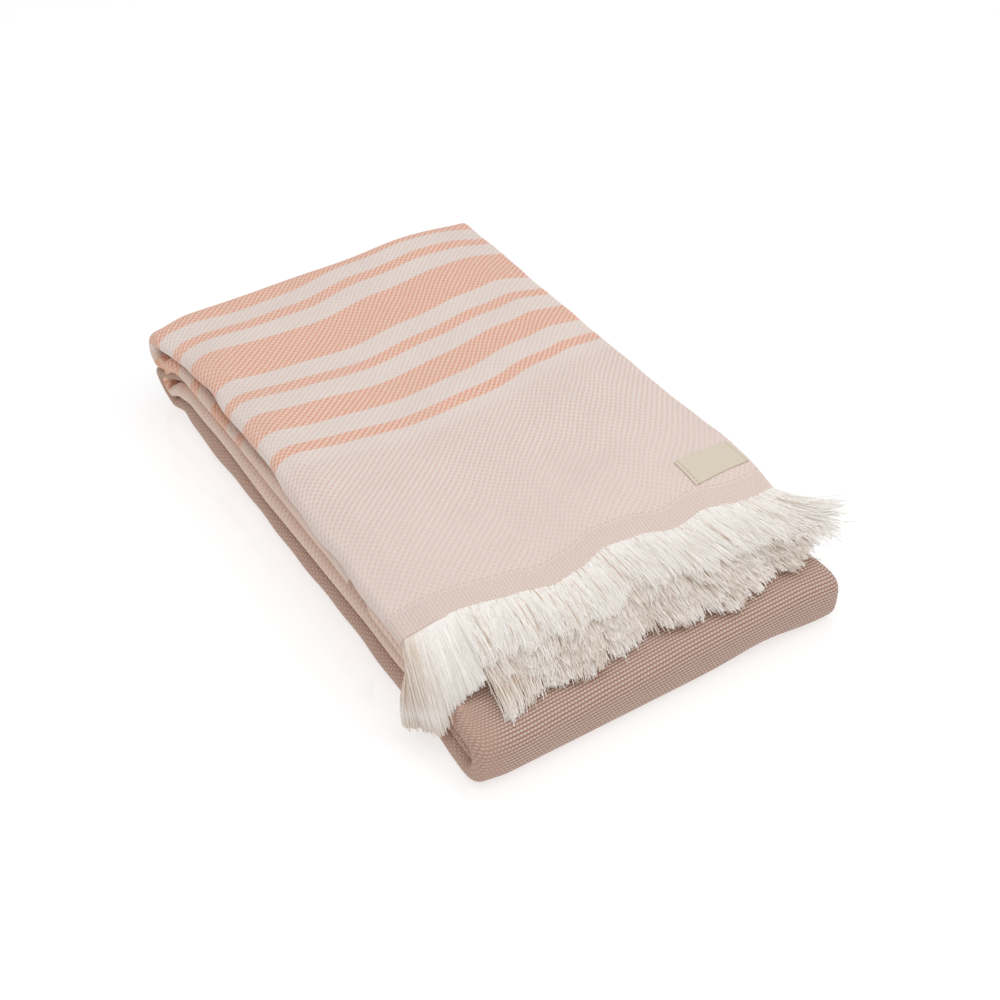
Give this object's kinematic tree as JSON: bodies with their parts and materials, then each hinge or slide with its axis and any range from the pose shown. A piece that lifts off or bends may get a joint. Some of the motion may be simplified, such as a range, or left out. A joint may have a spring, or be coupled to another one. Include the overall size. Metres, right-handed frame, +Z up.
{
  "type": "folded hammam towel",
  "caption": "Woven cotton hammam towel folded into a flat stack, with a stepped fringed end over its rounded front fold and a small blank sewn label.",
  "frame": {"origin": "centre of the folded towel's bounding box, on the surface that it lies on", "axes": "+Y along the folded length, away from the fringed front end; +X to the right as seen from the fringed end; +Z up"},
  "size_m": [0.2862, 0.4306, 0.0682],
  "materials": {
    "towel_cloth": "matte woven cotton, pale pink with orange stripes on the right side, greige ribs on the reverse",
    "front_fringe": "matte undyed cotton yarn",
    "inner_fringe": "matte undyed cotton yarn",
    "label": "blank woven beige tape, slightly smooth"
  },
  "bodies": {
    "root": {"towel_cloth": "towel_cloth", "front_fringe": "front_fringe", "inner_fringe": "inner_fringe", "label": "label"}
  },
  "joints": []
}
